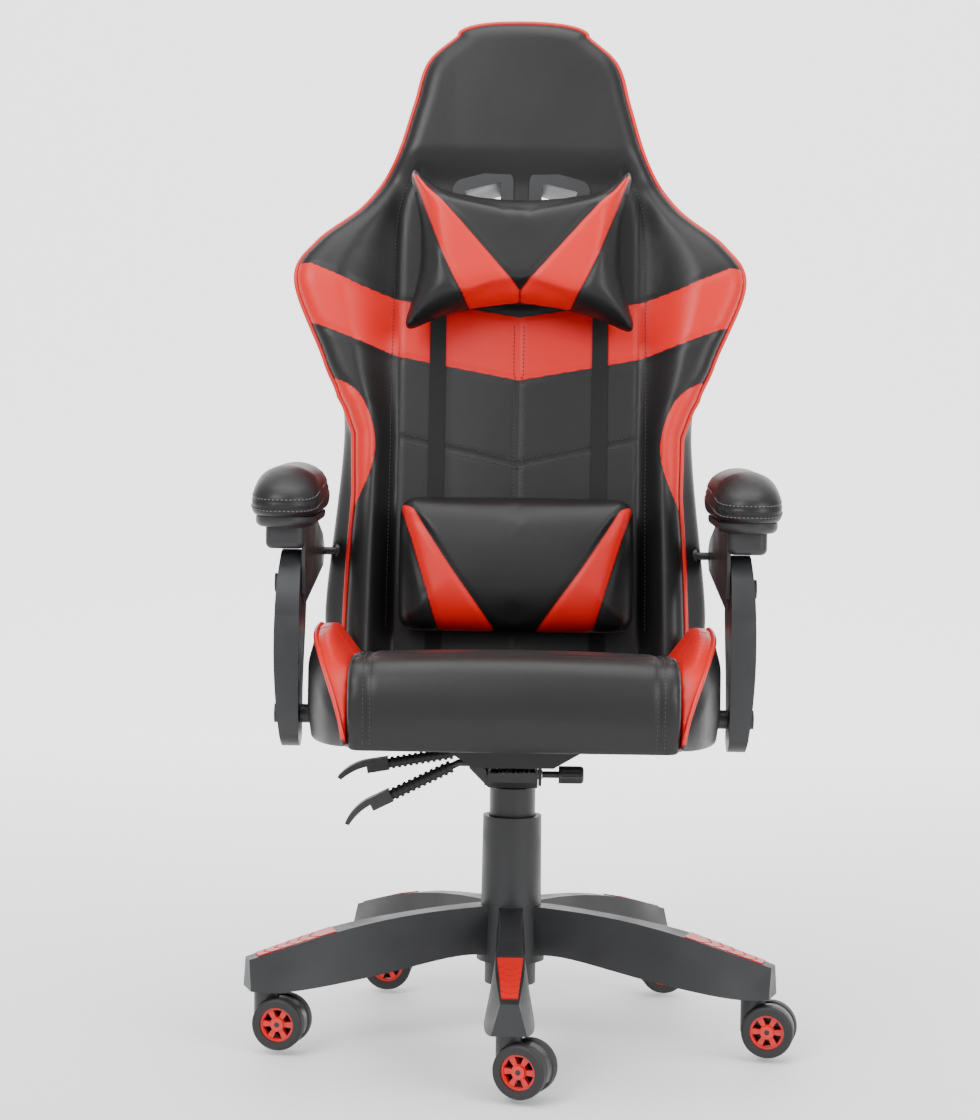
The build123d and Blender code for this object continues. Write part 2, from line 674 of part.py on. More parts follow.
def back_cushion(hollow):
    """The padded back, with a channel between its wings and two strap holes."""
    body = extrude(Plane.XZ.offset(-BACK_REAR) * back_outline(), amount=BACK_REAR + BACK_CREST)
    channel = ((-150, -BACK_FLOOR), (150, -BACK_FLOOR), (182, -BACK_CREST - 1), (-182, -BACK_CREST - 1))
    body -= prism(Plane.XY, channel, 640)
    body -= side_prism(((-BACK_CREST - 1, 470), (-43, 600), (-38, 850), (-BACK_CREST - 9, 850)), -300, 300)
    body -= side_prism(((BACK_REAR, 560), (BACK_REAR + 9, 560), (BACK_REAR + 9, 850), (22, 850)), -300, 300)
    hole = extrude(Plane.XZ.offset(-60) * grommet_outline(3), amount=130)
    body = body - hole - mirrored(hole)
    return on_back(body) - hollow


def grommet(side):
    """A moulded surround: a sleeve through the back with a broad front flange."""
    sleeve = extrude(Plane.XZ.offset(-BACK_REAR - 3) * grommet_outline(3), amount=BACK_REAR + BACK_FLOOR + 6)
    front = extrude(Plane.XZ.offset(BACK_FLOOR + 0.2) * grommet_outline(16), amount=4)
    front &= block((9, 120), (-80, 80), (500, 700))
    rear = extrude(Plane.XZ.offset(-BACK_REAR - 4) * grommet_outline(12), amount=3.8)
    through = extrude(Plane.XZ.offset(-80) * grommet_outline(0), amount=200)
    return on_back(sided(sleeve + front + rear - through, side))


def pillow_straps():
    """Two elastic straps down the front of the back, and one round the bridge between the holes."""
    straps = []
    for x in (-102, 102):
        straps.append(on_back(block((x - 10, x + 10), (-BACK_FLOOR - 1.8, -BACK_FLOOR - 0.3), (16, 520))))
    around = block((-40, 40), (BACK_REAR + 4.5, BACK_REAR + 6), STRAP_LOOP)
    for x in (-40, 38.5):
        around += block((x, x + 1.5), (-BACK_FLOOR - 8, BACK_REAR + 6), STRAP_LOOP)
    straps.append(on_back(around))
    return straps


def head_pillow():
    """A bow-tie neck pillow, taller at its ends than at its middle."""
    outline = make_face(
        ThreePointArc((-143, 618), (0, 584), (143, 618))
        + ThreePointArc((143, 618), (133, 530), (140, 430))
        + ThreePointArc((140, 430), (0, 452), (-140, 430))
        + ThreePointArc((-140, 430), (-133, 530), (-143, 618))
    )
    return on_back(extrude(Plane.XZ.offset(BACK_FLOOR + 8.5) * outline, amount=76))


def lumbar_pillow():
    face = RectangleRounded(294, 170, 22)
    pillow = extrude(Plane.XZ.offset(BACK_FLOOR + 2.4) * Pos(0, 129) * face, amount=80)
    return on_back(pillow)


# Armrests


def strut(side):
    """The curved leg of an armrest, from the seat's pivot up to the pad's."""
    seat_pivot, pad_pivot, _ = linkage()
    shape = make_face(
        ThreePointArc((-70, 571), (-95, 540), (-104, 500))
        + ThreePointArc((-104, 500), (-108, 430), (-96, 362))
        + ThreePointArc((-96, 362), (-68, 346), (-36, 356))
        + ThreePointArc((-36, 356), (-34, 400), (-14, 450))
        + ThreePointArc((-14, 450), (8, 498), (16, 548))
        + Polyline((16, 548), (-8, 566), (-55, 573), (-70, 571))
    )
    leg = extrude(Plane.YZ.offset(STRUT_IN) * shape, amount=STRUT_OUT - STRUT_IN, dir=(1, 0, 0))
    bow = make_face(
        Polyline((STRUT_IN - 1, 340), (STRUT_IN - 1, 580), (STRUT_OUT - 6, 580))
        + ThreePointArc((STRUT_OUT - 6, 580), (STRUT_OUT, 480), (STRUT_OUT - 9, 340))
        + Line((STRUT_OUT - 9, 340), (STRUT_IN - 1, 340))
    )
    leg &= extrude(Plane.XZ.offset(-200) * bow, amount=400)
    leg -= rod(SEAT_PIVOT_R + RUNNING, (200, *seat_pivot), (300, *seat_pivot))
    leg -= rod(PAD_PIVOT_R + RUNNING, (200, *pad_pivot), (300, *pad_pivot))
    return sided(leg, side)


def pad_bracket(side):
    """The moulding under an arm pad: tray, block, and a side link with the front pivot's pin."""
    _, front, rear = linkage()
    tray = block((PAD_X - 34, PAD_X + 34), (-108, 126), (600, PAD_BOTTOM))
    tray = fillet(tray.edges().filter_by(Axis.Z), 30)
    tray = fillet(tray.edges().group_by(Axis.Z)[0], 8)
    stem = block((LINK_IN, PAD_X + 22), (-92, 92), (575, 600))
    stem = fillet(stem.edges().filter_by(Axis.Z), 10)
    stem = fillet(stem.edges().group_by(Axis.Z)[0], 7)
    link = side_prism(
        (
            (-85, 600),
            (-85, 560),
            (front[0] - 20, front[1] - 10),
            (front[0], front[1] - 22),
            (rear[0], rear[1] - 18),
            (rear[0] + 17, rear[1] - 6),
            (rear[0] + 17, rear[1] + 8),
            (rear[0] - 10, rear[1] + 22),
            (110, 600),
        ),
        LINK_IN,
        LINK_OUT,
    )
    pin_end = STRUT_OUT + 0.5
    pin = rod(PAD_PIVOT_R, (LINK_OUT, *front), (pin_end, *front))
    pin += rod(PIVOT_HEAD_R, (pin_end, *front), (pin_end + 2.5, *front))
    bracket = tray + stem + link + pin
    bracket -= rod(BACK_PIVOT_R + OPEN_PIVOT, (200, *rear), (300, *rear))
    return sided(bracket, side)


def arm_pad(side):
    """The upholstered pad, a plain rounded solid."""
    pad = block((PAD_X - 41, PAD_X + 41), (-122, 138), (PAD_BOTTOM, PAD_TOP))
    pad = fillet(pad.edges().filter_by(Axis.Z), 38)
    top = pad.edges().group_by(Axis.Z)[-1]
    return sided(fillet(top, 18), side)


def pivot_bolt(point, side, shank, start, head_in):
    """A shouldered bolt along X with a flat head."""
    bolt = rod(shank, (start, *point), (head_in, *point))
    bolt += rod(PIVOT_HEAD_R, (head_in, *point), (head_in + 4, *point))
    return sided(bolt, side)


def export_base():
    save("base_star", base_star())
    save("arm_inlays", *[Rot(Z=-90 + 72 * index) * inlay() for index in range(ARM_COUNT)])
    save("gas_lift_tube", gas_lift_tube())
    save("lift_guide_bush", ring(TUBE_R - 2, CYLINDER_R + RUNNING, 190, TUBE_TOP))
    lower, middle, upper = column_covers()
    save("column_cover_lower", lower)
    save("column_cover_middle", middle)
    save("column_cover_upper", upper)
    frame = castor_frame()
    wheels = {"wheel_outer": castor_wheel(1), "wheel_inner": castor_wheel(-1)}
    for name in CASTORS:
        save(f"{name}_frame", *[place_castor(piece, name) for piece in frame])
        for wheel, pieces in wheels.items():
            save(f"{name}_{wheel}", *[place_castor(piece, name) for piece in pieces])


def export_mechanism():
    save("lift_cylinder", lift_cylinder())
    save("lift_piston_rod", *lift_piston())
    save("lift_valve_button", rod(4, (0, 0, 312), (0, 0, LEVER_Z - 4.5)))
    save("mechanism_box", mechanism_box())
    for name, y, slope in (("height_lever", HEIGHT_LEVER_Y, 10), ("tilt_lever", TILT_LEVER_Y, 26.5)):
        arm, sleeve, handle = lever(y, slope)
        save(f"{name}_rod", arm)
        save(f"{name}_sleeve", sleeve)
        save(f"{name}_handle", handle)
    save("tilt_shaft", tilt_shaft())
    save("tension_knob", tension_knob())
    save("tilt_spring", tilt_spring())


def export_seat():
    hollow = seat_frame(CLEARANCE)
    slot = block((SEAT_HINGE_IN - CLEARANCE, SEAT_HINGE_OUT + CLEARANCE), (100, 150), (0, 60))
    plate_slots = [on_seat(sided(slot, side)) for side in (1, -1)]
    save("seat_plate", seat_plate())
    save("seat_plate_bolts", *seat_plate_bolts())
    save("seat_frame", seat_frame())
    save("seat_cushion", seat_cushion(hollow))
    save("seat_bolsters", *[seat_bolster(hollow, side) - plate_slots for side in (1, -1)])
    save("recliner_seat_plates", *[recliner_seat_plate(side) for side in (1, -1)])
    save("recliner_covers", *[recliner_cover(side) for side in (1, -1)])
    shaft, paddle = recline_lever()
    save("recline_sync_rod", shaft)
    save("recline_lever", paddle)
    seat_pivot = linkage()[0]
    bolts = [pivot_bolt(seat_pivot, side, SEAT_PIVOT_R, 212, STRUT_OUT - 2.6) for side in (1, -1)]
    save("arm_bolts_seat", *bolts)


def export_back():
    slot = block((BACK_HINGE_IN - CLEARANCE, BACK_HINGE_OUT + CLEARANCE), (-17.4, 17.4), (40, 85.4))
    plate_slots = [on_back(sided(slot, side)) for side in (1, -1)]
    save("back_frame", back_frame())
    save("back_cushion", back_cushion(back_frame(CLEARANCE)) - plate_slots)
    save("grommets", grommet(1), grommet(-1))
    save("recliner_back_plates", *[recliner_back_plate(side) for side in (1, -1)])
    save("pillow_straps", *pillow_straps())
    save("head_pillow", head_pillow())
    save("lumbar_pillow", lumbar_pillow())
    back_pivot = linkage()[2]
    bolts = [pivot_bolt(back_pivot, side, BACK_PIVOT_R, 204, LINK_OUT + 0.3) for side in (1, -1)]
    save("arm_bolts_back", *bolts)


def export_arms():
    for name, side in SIDES.items():
        save(f"strut_{name}", strut(side))
        save(f"pad_bracket_{name}", pad_bracket(side))
        save(f"arm_pad_{name}", arm_pad(side))


os.makedirs("parts", exist_ok=True)
export_base()
export_mechanism()
export_seat()
export_back()
export_arms()
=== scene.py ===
import json
import math

import bmesh
import bpy
import numpy as np
from mathutils import Matrix, Vector
from mathutils.bvhtree import BVHTree


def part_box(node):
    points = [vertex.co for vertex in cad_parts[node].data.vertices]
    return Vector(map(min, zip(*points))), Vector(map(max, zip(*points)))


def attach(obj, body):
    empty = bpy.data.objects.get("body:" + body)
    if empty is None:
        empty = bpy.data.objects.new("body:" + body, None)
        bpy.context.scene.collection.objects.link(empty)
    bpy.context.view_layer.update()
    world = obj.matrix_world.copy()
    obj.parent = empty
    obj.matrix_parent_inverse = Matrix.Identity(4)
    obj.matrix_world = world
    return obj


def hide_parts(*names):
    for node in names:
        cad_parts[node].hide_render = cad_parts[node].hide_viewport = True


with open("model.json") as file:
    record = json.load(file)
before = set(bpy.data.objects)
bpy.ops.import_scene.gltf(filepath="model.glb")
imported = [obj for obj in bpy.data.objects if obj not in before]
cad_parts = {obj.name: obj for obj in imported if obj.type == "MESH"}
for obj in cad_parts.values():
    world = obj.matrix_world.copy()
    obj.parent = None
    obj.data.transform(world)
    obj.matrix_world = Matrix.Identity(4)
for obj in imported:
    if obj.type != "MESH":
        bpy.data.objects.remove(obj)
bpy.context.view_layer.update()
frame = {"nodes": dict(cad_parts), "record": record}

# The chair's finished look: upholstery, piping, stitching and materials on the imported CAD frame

joints = {joint["name"]: joint for joint in frame["record"]["behaviour"]["joints"]}
MM = 0.001

# The back's own frame: its origin on the recline axis, z up the back, -y towards the sitter
BACK_LEAN = math.radians(10)
BACK_ORIGIN = Vector(joints["recline"]["pos_m"])
BACK_MATRIX = Matrix.Translation(BACK_ORIGIN) @ Matrix.Rotation(-BACK_LEAN, 4, "X")
# The seat's own frame: level, then turned about the lift's axis so that its back edge is lower
SEAT_SLOPE = math.radians(4)
SEAT_DATUM = 0.349
SEAT_MATRIX = Matrix.Translation((0, 0, SEAT_DATUM)) @ Matrix.Rotation(-SEAT_SLOPE, 4, "X")

BACK_PIPING_R, SEAT_PIPING_R = 3.2, 2.6
VOXEL = 4.0
# The "red" attribute of a surface outside every red panel, and a distance beyond every seam
NOT_RED, FAR = -5.0, 1e3
STITCH_PITCH = 5.0
# A twin row of stitches runs this far to each side of its seam
TWIN_ROW = 4


# Small maths helpers, in millimetres


def smooth_step(low, high, value):
    t = np.clip((value - low) / (high - low), 0, 1)
    return t * t * (3 - 2 * t)


def through(points, count):
    """A smooth Catmull-Rom curve through the points."""
    p = np.array(points, float)
    p = np.vstack([2 * p[0] - p[1], p, 2 * p[-1] - p[-2]])
    spots = np.linspace(0, len(p) - 3 - 1e-9, count)
    index = spots.astype(int)
    t = (spots - index)[:, None]
    a, b, c, d = p[index], p[index + 1], p[index + 2], p[index + 3]
    return 0.5 * (2 * b + (c - a) * t + (2 * a - 5 * b + 4 * c - d) * t**2 + (3 * b - a - 3 * c + d) * t**3)


def distance_to(path, x, z):
    """Each point's distance to a polyline given as rows of x and z."""
    best = np.full(x.shape, 1e9)
    for (x0, z0), (x1, z1) in zip(path[:-1], path[1:]):
        dx, dz = x1 - x0, z1 - z0
        t = np.clip(((x - x0) * dx + (z - z0) * dz) / max(dx * dx + dz * dz, 1e-9), 0, 1)
        best = np.minimum(best, np.hypot(x - x0 - t * dx, z - z0 - t * dz))
    return best


# Mesh helpers


def new_object(name, verts, faces):
    """A mesh object from points in millimetres of a local frame."""
    mesh = bpy.data.meshes.new(name)
    points = np.asarray(verts, float) * MM
    mesh.from_pydata([tuple(p) for p in points], [], faces)
    mesh.update()
    piece = bpy.data.objects.new(name, mesh)
    bpy.context.scene.collection.objects.link(piece)
    return piece


def loft(rings):
    """Faces and points of a closed tube through equal rings, capped at both ends."""
    rings = np.asarray(rings, float)
    rows, count = rings.shape[0], rings.shape[1]
    verts = list(rings.reshape(-1, 3)) + [rings[0].mean(0), rings[-1].mean(0)]
    faces = []
    for row in range(rows - 1):
        for i in range(count):
            j = (i + 1) % count
            faces.append((row * count + i, row * count + j, (row + 1) * count + j, (row + 1) * count + i))
    last = (rows - 1) * count
    for i in range(count):
        j = (i + 1) % count
        faces.append((j, i, rows * count))
        faces.append((last + i, last + j, rows * count + 1))
    return np.array(verts), faces


def prism(outline, low, high):
    """Points and faces of a prism with its outline in x and z, and its ends at two values of y."""
    ring = np.array([(x, 0, z) for x, z in outline], float)
    return loft([ring + (0, low, 0), ring + (0, high, 0)])


def add_part(verts, faces, part, part_faces):
    """Appends one part's points and faces to the lists of a whole."""
    faces += [tuple(i + len(verts) for i in face) for face in part_faces]
    verts += list(part)


def turn_faces_out(piece, triangulate=False):
    bm = bmesh.new()
    bm.from_mesh(piece.data)
    if triangulate:
        bmesh.ops.triangulate(bm, faces=bm.faces[:])
    bmesh.ops.recalc_face_normals(bm, faces=bm.faces[:])
    bm.to_mesh(piece.data)
    bm.free()


def remeshed(name, verts, faces, voxel, rounds):
    """The closed shape with an even fine mesh and softened edges, still in its local frame in metres."""
    piece = new_object(name, verts, faces)
    turn_faces_out(piece, triangulate=True)
    remesh = piece.modifiers.new("remesh", "REMESH")
    remesh.mode = "VOXEL"
    remesh.voxel_size = voxel * MM
    apply_modifiers(piece)
    relax = piece.modifiers.new("relax", "SMOOTH")
    relax.factor = 0.5
    relax.iterations = rounds
    apply_modifiers(piece)
    return piece


def apply_modifiers(piece):
    """Turns the piece's modifiers into its mesh."""
    graph = bpy.context.evaluated_depsgraph_get()
    mesh = bpy.data.meshes.new_from_object(piece.evaluated_get(graph))
    old = piece.data
    piece.modifiers.clear()
    piece.data = mesh
    bpy.data.meshes.remove(old)


def points_of(piece):
    """The piece's points, one row each, in millimetres."""
    co = np.empty(len(piece.data.vertices) * 3)
    piece.data.vertices.foreach_get("co", co)
    return co.reshape(-1, 3) / MM


def set_points(piece, points):
    piece.data.vertices.foreach_set("co", (points * MM).ravel())
    piece.data.update()


def normals_of(piece):
    no = np.empty(len(piece.data.vertices) * 3)
    piece.data.vertices.foreach_get("normal", no)
    return no.reshape(-1, 3)


def set_attribute(piece, name, values):
    layer = piece.data.attributes.new(name, "FLOAT", "POINT")
    layer.data.foreach_set("value", np.ascontiguousarray(values, dtype=np.float32))


def groove(points, normals, seam, depth, width):
    """Presses the surface in where the distance to a seam is small, fading out over a width."""
    return points - normals * (depth * np.exp(-((seam / width) ** 2)))[:, None]


def finish_piece(piece, material, body, matrix=None, replaced=()):
    """Puts a piece in the row frame, shades it smooth and joins it to its body."""
    if matrix:
        piece.data.transform(matrix)
    piece.data.materials.clear()
    piece.data.materials.append(material)
    for polygon in piece.data.polygons:
        polygon.use_smooth = True
    if replaced:
        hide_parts(*replaced)
    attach(piece, body)
    return piece


def tube(path, radius, sides=10):
    """Points and faces of a round tube along a path in millimetres."""
    path = np.asarray(path, float)
    along = np.gradient(path, axis=0)
    along /= np.linalg.norm(along, axis=1)[:, None]
    angles = np.arange(sides) * 2 * math.pi / sides
    rings = []
    any_other_way = (0.31, 0.77, 0.55)
    across = np.cross(along[0], any_other_way)
    for point, direction in zip(path, along):
        across = across - direction * np.dot(across, direction)
        across /= np.linalg.norm(across)
        other = np.cross(direction, across)
        rings.append(point + radius * (np.cos(angles)[:, None] * across + np.sin(angles)[:, None] * other))
    return loft(rings)


def stitches(path, normals, length=3.4, radius=0.55, lift=0.35, sunk=-0.3):
    """Short rounded stitches laid along a path, each lifted in its middle and sunk at its ends."""
    path, normals = np.asarray(path, float), np.asarray(normals)
    angles = np.arange(6) * math.pi / 3
    steps = np.linalg.norm(np.diff(path, axis=0), axis=1)
    run = np.concatenate([[0], np.cumsum(steps)])
    verts, faces = [], []
    for spot in np.arange(STITCH_PITCH, run[-1] - STITCH_PITCH, STITCH_PITCH):
        ends = [spot - length / 2, spot - length / 3, spot + length / 3, spot + length / 2]
        line = np.array([[np.interp(s, run, path[:, k]) for k in range(3)] for s in ends])
        normal = np.array([np.interp(spot, run, normals[:, k]) for k in range(3)])
        normal /= np.linalg.norm(normal)
        direction = line[3] - line[0]
        direction /= np.linalg.norm(direction)
        side = np.cross(direction, normal)
        rings = []
        for point, size, rise in zip(line, (0.5, 1, 1, 0.5), (sunk, lift, lift, sunk)):
            ring = np.cos(angles)[:, None] * side + np.sin(angles)[:, None] * normal
            rings.append(point + normal * rise + ring * radius * size)
        add_part(verts, faces, *loft(rings))
    return np.array(verts), faces


def sew(piece, name, lines, material, body, matrix=None):
    """Rows of stitches on a piece's surface, along lines given near it in its local frame."""
    bm = bmesh.new()
    bm.from_mesh(piece.data)
    tree = BVHTree.FromBMesh(bm)
    bm.free()
    verts, faces = [], []
    for line in lines:
        found = [tree.find_nearest(Vector(point) * MM) for point in line]
        path = [np.array(hit[0]) / MM for hit in found]
        add_part(verts, faces, *stitches(path, [np.array(hit[1]) for hit in found]))
    thread = new_object(name, verts, faces)
    finish_piece(thread, material, body, matrix)


# Materials


def new_material(name):
    material = bpy.data.materials.new(name)
    material.use_nodes = True
    nodes, links = material.node_tree.nodes, material.node_tree.links
    return material, nodes, links, nodes["Principled BSDF"]


def add_node(nodes, kind, **values):
    """A new shader node, with each value set on its input or, failing that, its property."""
    node = nodes.new(kind)
    for key, value in values.items():
        if key in node.inputs:
            node.inputs[key].default_value = value
        else:
            setattr(node, key, value)
    return node


def object_noise(nodes, links, scale, detail=4.0, roughness=0.5):
    coords = nodes.new("ShaderNodeTexCoord")
    noise = add_node(nodes, "ShaderNodeTexNoise", Scale=scale, Detail=detail, Roughness=roughness)
    links.new(coords.outputs["Object"], noise.inputs["Vector"])
    return noise


def ranged(nodes, links, source, low, high, start=0.3, end=0.7):
    """The source carried from start..end to low..high."""
    remap = add_node(nodes, "ShaderNodeMapRange")
    for key, value in (("From Min", start), ("From Max", end), ("To Min", low), ("To Max", high)):
        remap.inputs[key].default_value = value
    links.new(source, remap.inputs["Value"])
    return remap.outputs["Result"]


def leather(name, black, red):
    """Satin polyurethane leather. Its red panels lie where the mesh's "red" attribute is above 0."""
    material, nodes, links, shader = new_material(name)
    attribute = add_node(nodes, "ShaderNodeAttribute", attribute_name="red")
    above = add_node(nodes, "ShaderNodeMath", operation="GREATER_THAN")
    above.inputs[1].default_value = 0.0
    links.new(attribute.outputs["Fac"], above.inputs[0])
    panels = add_node(nodes, "ShaderNodeMix", data_type="RGBA")
    panels.inputs["A"].default_value = (*black, 1)
    panels.inputs["B"].default_value = (*red, 1)
    links.new(above.outputs[0], panels.inputs["Factor"])
    # Painted shade along the seams: the base colour falls to 0.35 of itself within 0.4 mm of a seam and is
    # full again 1.6 mm away
    seam = add_node(nodes, "ShaderNodeAttribute", attribute_name="seam")
    line = ranged(nodes, links, seam.outputs["Fac"], 0.35, 1.0, 0.4, 1.6)
    shade = add_node(nodes, "ShaderNodeMix", data_type="RGBA", blend_type="MULTIPLY")
    shade.inputs["Factor"].default_value = 1.0
    links.new(panels.outputs["Result"], shade.inputs["A"])
    links.new(line, shade.inputs["B"])
    links.new(shade.outputs["Result"], shader.inputs["Base Color"])
    cloud = object_noise(nodes, links, 9.0)
    links.new(ranged(nodes, links, cloud.outputs["Fac"], 0.36, 0.46), shader.inputs["Roughness"])
    coords = nodes.new("ShaderNodeTexCoord")
    grain = add_node(nodes, "ShaderNodeTexVoronoi", Scale=900.0, feature="DISTANCE_TO_EDGE")
    links.new(coords.outputs["Object"], grain.inputs["Vector"])
    creases = object_noise(nodes, links, 60.0, 3.0)
    fine = add_node(nodes, "ShaderNodeBump", Strength=0.10, Distance=0.0006)
    links.new(grain.outputs["Distance"], fine.inputs["Height"])
    broad = add_node(nodes, "ShaderNodeBump", Strength=0.10, Distance=0.002)
    links.new(creases.outputs["Fac"], broad.inputs["Height"])
    links.new(fine.outputs["Normal"], broad.inputs["Normal"])
    links.new(broad.outputs["Normal"], shader.inputs["Normal"])
    shader.inputs["Specular IOR Level"].default_value = 0.34
    return material


def moulded(name, color, low_rough, high_rough, bump=0.12, scale=700.0, metallic=0.0):
    """Moulded plastic, rubber or coated steel with a fine surface texture."""
    material, nodes, links, shader = new_material(name)
    tint = object_noise(nodes, links, 25.0)
    mix = add_node(nodes, "ShaderNodeMix", data_type="RGBA")
    mix.inputs["A"].default_value = (*[c * 0.88 for c in color], 1)
    mix.inputs["B"].default_value = (*[min(c * 1.12, 1) for c in color], 1)
    links.new(tint.outputs["Fac"], mix.inputs["Factor"])
    links.new(mix.outputs["Result"], shader.inputs["Base Color"])
    links.new(ranged(nodes, links, tint.outputs["Fac"], low_rough, high_rough), shader.inputs["Roughness"])
    texture = object_noise(nodes, links, scale, 2.0)
    grain = add_node(nodes, "ShaderNodeBump", Strength=bump, Distance=0.0005)
    links.new(texture.outputs["Fac"], grain.inputs["Height"])
    links.new(grain.outputs["Normal"], shader.inputs["Normal"])
    shader.inputs["Metallic"].default_value = metallic
    return material


def webbing(name, color):
    """Woven elastic, with ribs across its length."""
    material, nodes, links, shader = new_material(name)
    coords = nodes.new("ShaderNodeTexCoord")
    wave = add_node(nodes, "ShaderNodeTexWave", Scale=260.0, bands_direction="Z")
    links.new(coords.outputs["Object"], wave.inputs["Vector"])
    # Painted shade: the colour darkens to 0.6 in the troughs between the ribs, where the same bands sink in
    # the bump below
    mix = add_node(nodes, "ShaderNodeMix", data_type="RGBA")
    mix.inputs["A"].default_value = (*[c * 0.6 for c in color], 1)
    mix.inputs["B"].default_value = (*color, 1)
    links.new(wave.outputs["Fac"], mix.inputs["Factor"])
    links.new(mix.outputs["Result"], shader.inputs["Base Color"])
    ribs = add_node(nodes, "ShaderNodeBump", Strength=0.4, Distance=0.0008)
    links.new(wave.outputs["Fac"], ribs.inputs["Height"])
    links.new(ribs.outputs["Normal"], shader.inputs["Normal"])
    shader.inputs["Roughness"].default_value = 0.85
    return material


def wheel_material(name, centre, axle):
    """Black tyre outside a red rim, split at the rim's radius from that wheel's own axle."""
    material, nodes, links, shader = new_material(name)
    rim_radius = 0.0199
    coords = nodes.new("ShaderNodeTexCoord")
    offset = add_node(nodes, "ShaderNodeVectorMath", operation="SUBTRACT")
    offset.inputs[1].default_value = centre
    links.new(coords.outputs["Object"], offset.inputs[0])
    cross = add_node(nodes, "ShaderNodeVectorMath", operation="CROSS_PRODUCT")
    cross.inputs[1].default_value = axle
    links.new(offset.outputs[0], cross.inputs[0])
    radius = add_node(nodes, "ShaderNodeVectorMath", operation="LENGTH")
    links.new(cross.outputs[0], radius.inputs[0])
    outside = add_node(nodes, "ShaderNodeMath", operation="GREATER_THAN")
    outside.inputs[1].default_value = rim_radius
    links.new(radius.outputs["Value"], outside.inputs[0])
    mix = add_node(nodes, "ShaderNodeMix", data_type="RGBA")
    mix.inputs["A"].default_value = (*RED_PLASTIC, 1)
    mix.inputs["B"].default_value = (*TYRE_BLACK, 1)
    links.new(outside.outputs[0], mix.inputs["Factor"])
    links.new(mix.outputs["Result"], shader.inputs["Base Color"])
    links.new(ranged(nodes, links, outside.outputs[0], 0.32, 0.6, 0, 1), shader.inputs["Roughness"])
    texture = object_noise(nodes, links, 500.0, 2.0)
    grain = add_node(nodes, "ShaderNodeBump", Strength=0.08, Distance=0.0004)
    links.new(texture.outputs["Fac"], grain.inputs["Height"])
    links.new(grain.outputs["Normal"], shader.inputs["Normal"])
    return material


BLACK = (0.0085, 0.0085, 0.0090)
RED = (0.64, 0.006, 0.004)
RED_PLASTIC = (0.60, 0.008, 0.006)
TYRE_BLACK = (0.010, 0.010, 0.011)

upholstery = leather("upholstery", BLACK, RED)
piping_red = moulded("piping_red", RED, 0.35, 0.45, 0.05, 900.0)
thread_dark = moulded("thread_dark", (0.03, 0.03, 0.032), 0.6, 0.7, 0.1, 1500.0)
thread_light = moulded("thread_light", (0.10, 0.10, 0.10), 0.6, 0.7, 0.1, 1500.0)
nylon = moulded("nylon", (0.014, 0.0145, 0.016), 0.36, 0.5, 0.15, 650.0)
castor_black = moulded("castor_black", (0.010, 0.010, 0.011), 0.3, 0.42, 0.08, 650.0)
inlay_red = moulded("inlay_red", RED_PLASTIC, 0.28, 0.36, 0.05, 650.0)
coated_steel = moulded("coated_steel", (0.010, 0.010, 0.011), 0.3, 0.42, 0.1, 900.0)
bright_steel = moulded("bright_steel", (0.6, 0.6, 0.62), 0.25, 0.35, 0.03, 900.0, metallic=1.0)
sleeve_rubber = moulded("sleeve_rubber", (0.009, 0.009, 0.009), 0.45, 0.6, 0.1, 500.0)
strap_web = webbing("strap_web", (0.008, 0.008, 0.009))

SLOT_MATERIALS = {
    "nylon": nylon,
    "red_plastic": inlay_red,
    "castor_plastic": castor_black,
    "black_steel": coated_steel,
    "steel": bright_steel,
    "sleeve": sleeve_rubber,
    "strap": strap_web,
}


def paint_cad_nodes():
    """Gives every CAD node that stays visible its procedural material."""
    spins = {joint["child"]: joint for joint in joints.values()}
    slots = {part["node"]: part["material_slot"] for part in frame["record"]["subparts"]}
    for name, node in frame["nodes"].items():
        if slots[name] == "tyre":
            joint = spins[name]
            material = wheel_material(name + "_finish", joint["pos_m"], joint["axis"])
        elif slots[name] in SLOT_MATERIALS:
            material = SLOT_MATERIALS[slots[name]]
        else:
            material = upholstery
        for slot in node.material_slots:
            slot.material = material


# Back upholstery

# How far from the recline axis's plane: the hollow and the wings' crest in front, the rear surface behind
BACK_FLOOR, BACK_CREST, BACK_REAR = 28.0, 62.0, 42.0
BACK_HALF_SLAB = 30.0
# The flank from foot to crown, as distance out and height
FLANK = [(237, 13), (237, 46), (237, 100), (219, 306), (241, 386), (280, 488), (255, 540), (197, 590),
         (158, 649), (135, 720), (118, 776), (80, 812)]
BACK_TOP = 828.0
FLANK_CURVE = through(FLANK, 400)
# Height and distance out of the front piping, from the foot to where it joins the flank
PIPING_EDGE = [(0, 210), (60, 209), (140, 206), (219, 201), (295, 203), (330, 216), (372, 241)]
WAIST = PIPING_EDGE[-1][0]


def back_half_outline():
    """The flank from foot to shoulder to head, closed over the crown by a quarter ellipse."""
    side_x, side_z = FLANK_CURVE[-1]
    turn = np.linspace(0, math.pi / 2, 40)[1:]
    squareness = 0.85
    crown_x = side_x * np.cos(turn) ** squareness
    crown_z = side_z + (BACK_TOP - side_z) * np.sin(turn)
    crown_x[-1] = 0
    return np.vstack([FLANK_CURVE, np.column_stack([crown_x, crown_z])])


def with_mirror(half):
    """A half outline that ends in the middle, followed by its mirror image."""
    return np.vstack([half, (half[::-1] * (-1, 1))[1:]])


BACK_HALF = back_half_outline()
BACK_OUTLINE = with_mirror(BACK_HALF)


def half_width(z):
    return np.interp(z, BACK_HALF[:, 1], BACK_HALF[:, 0])


def front_edge(z):
    """How far out the front piping runs: inside the flank low down, and on it above the waist."""
    low = np.interp(z, [h for h, _ in PIPING_EDGE], [x for _, x in PIPING_EDGE])
    return np.minimum(half_width(z), np.where(z < WAIST, low, half_width(z)))


